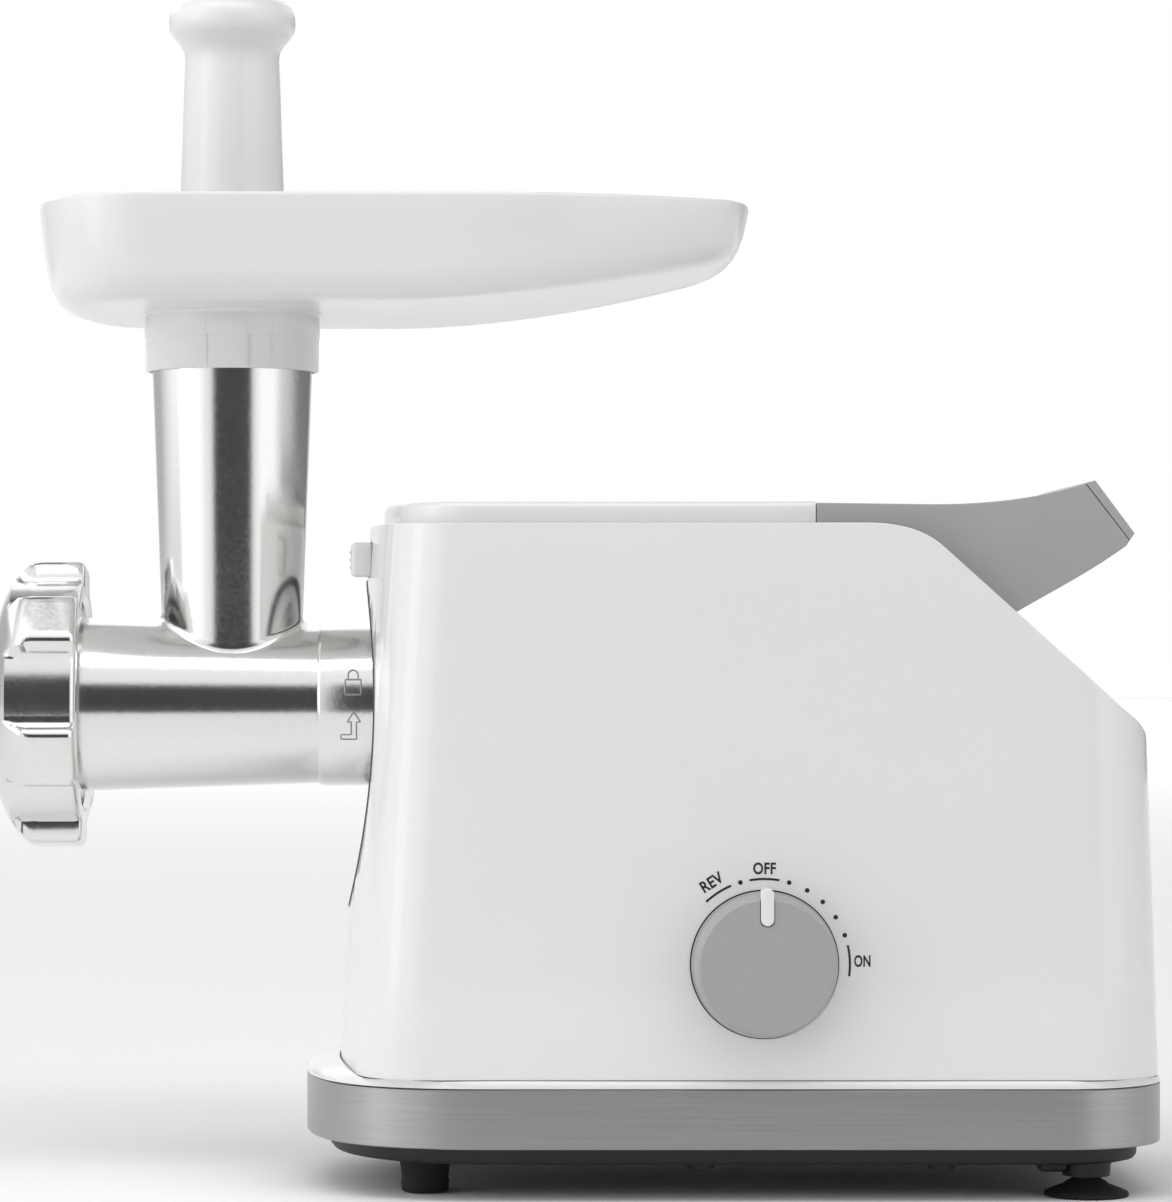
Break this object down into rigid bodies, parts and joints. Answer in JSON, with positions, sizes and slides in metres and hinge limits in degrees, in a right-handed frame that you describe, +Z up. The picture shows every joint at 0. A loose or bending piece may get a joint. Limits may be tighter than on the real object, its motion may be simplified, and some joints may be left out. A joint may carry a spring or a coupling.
{
  "type": "electric meat grinder",
  "caption": "Countertop electric meat grinder: motor housing on a steel-banded base, turn-in grinding head with ring nut, hopper tray, pusher, dial and rear carry handle.",
  "frame": {"origin": "middle of the bounding box in plan, on the surface the feet stand on", "axes": "+Z up, -X towards the ring nut at the front of the grinding head, -Y towards the dial"},
  "size_m": [0.4, 0.182, 0.4125],
  "materials": {
    "white_plastic": "glossy moulded white",
    "tray_plastic": "satin moulded white",
    "grey_plastic": "fine satin silver-grey",
    "steel_band": "brushed along its length",
    "black_plastic": "matt moulded black",
    "foot_rubber": "matt rubber",
    "gasket_rubber": "dark ring",
    "polished_casting": "polished cast aluminium",
    "socket_casting": "as cast aluminium",
    "auger_casting": "tumbled cast aluminium",
    "cutting_steel": "ground hardened steel",
    "machined_steel": "turned steel",
    "spring_steel": "plated spring wire",
    "stator_steel": "laminated electrical steel",
    "nylon": "natural nylon",
    "bronze": "sintered bronze",
    "copper": "turned copper",
    "carbon": "pressed carbon",
    "board": "coated circuit board",
    "screw_steel": "plated screw"
  },
  "bodies": {
    "housing": {"base_band": "steel_band", "base_ledge": "white_plastic", "bottom_pan": "black_plastic", "brush_dial_side": "carbon", "brush_plain_side": "carbon", "carry_handle": "grey_plastic", "control_board": "board", "front_foot_dial_side": "foot_rubber", "front_foot_plain_side": "foot_rubber", "gear_case": "nylon", "gear_case_cover": "nylon", "head_socket": "socket_casting", "latch_spring": "spring_steel", "lay_bush_front": "bronze", "lay_bush_rear": "bronze", "lead_inlet": "black_plastic", "main_housing": "white_plastic", "motor_bush_front": "bronze", "motor_bush_rear": "bronze", "motor_front_bracket": "socket_casting", "motor_rear_bracket": "socket_casting", "motor_stator": "stator_steel", "output_bush_front": "bronze", "output_bush_rear": "bronze", "pan_screw_1_dial_side": "screw_steel", "pan_screw_1_plain_side": "screw_steel", "pan_screw_2_dial_side": "screw_steel", "pan_screw_2_plain_side": "screw_steel", "recess_gasket": "gasket_rubber", "speed_switch": "black_plastic", "suction_foot_dial_side": "foot_rubber", "suction_foot_plain_side": "foot_rubber", "top_cover": "white_plastic"},
    "drive": {"output_gear": "machined_steel", "output_shaft": "machined_steel", "drive_coupling": "nylon", "auger": "auger_casting", "cutting_knife": "cutting_steel"},
    "layshaft": {"lay_gear": "nylon", "lay_shaft": "machined_steel"},
    "rotor": {"motor_rotor": "machined_steel", "commutator": "copper", "cooling_fan": "nylon"},
    "head": {"grinder_head": "polished_casting"},
    "tray": {"food_tray": "tray_plastic"},
    "pusher": {"food_pusher": "tray_plastic"},
    "plate": {"cutting_plate": "cutting_steel"},
    "nut": {"ring_nut": "polished_casting"},
    "dial_set": {"dial": "grey_plastic", "dial_pointer": "white_plastic", "dial_shaft": "machined_steel"},
    "button": {"release_button": "white_plastic", "latch": "machined_steel"}
  },
  "joints": [
    {"name": "drive_spin", "type": "hinge", "parent": "housing", "child": "drive", "pos_m": [0, 0.006, 0.1651], "axis": [1, 0, 0], "continuous": true},
    {"name": "layshaft_spin", "type": "hinge", "parent": "housing", "child": "layshaft", "pos_m": [0, 0.006, 0.11995], "axis": [1, 0, 0], "continuous": true},
    {"name": "rotor_spin", "type": "hinge", "parent": "housing", "child": "rotor", "pos_m": [0, 0.006, 0.0883], "axis": [1, 0, 0], "continuous": true},
    {"name": "head_turn", "type": "hinge", "parent": "housing", "child": "head", "pos_m": [0, 0.006, 0.1651], "axis": [1, 0, 0], "range_deg": [0, 36]},
    {"name": "tray_lift", "type": "slide", "parent": "head", "child": "tray", "axis": [0, 0, 1], "range_m": [0, 0.03]},
    {"name": "pusher_lift", "type": "slide", "parent": "tray", "child": "pusher", "axis": [0, 0, 1], "range_m": [0, 0.22]},
    {"name": "plate_slide", "type": "slide", "parent": "head", "child": "plate", "axis": [-1, 0, 0], "range_m": [0, 0.0091]},
    {"name": "nut_turn", "type": "hinge", "parent": "plate", "child": "nut", "pos_m": [0, 0.006, 0.1651], "axis": [-1, 0, 0], "range_deg": [0, 1080]},
    {"name": "dial_turn", "type": "hinge", "parent": "housing", "child": "dial_set", "pos_m": [0.0632, -0.09, 0.0794], "axis": [0, 1, 0], "range_deg": [-33, 88]},
    {"name": "button_press", "type": "slide", "parent": "housing", "child": "button", "axis": [1, 0, 0], "range_m": [0, 0.004], "stiffness_N_per_m": 600, "springref_m": -0.002, "deforming": ["latch_spring"]}
  ],
  "couplings": [
    {"joint": "layshaft_spin", "follows": "drive_spin", "ratio": -5},
    {"joint": "rotor_spin", "follows": "drive_spin", "ratio": 30},
    {"joint": "plate_slide", "follows": "nut_turn", "m_per_rad": 0.00047746}
  ]
}
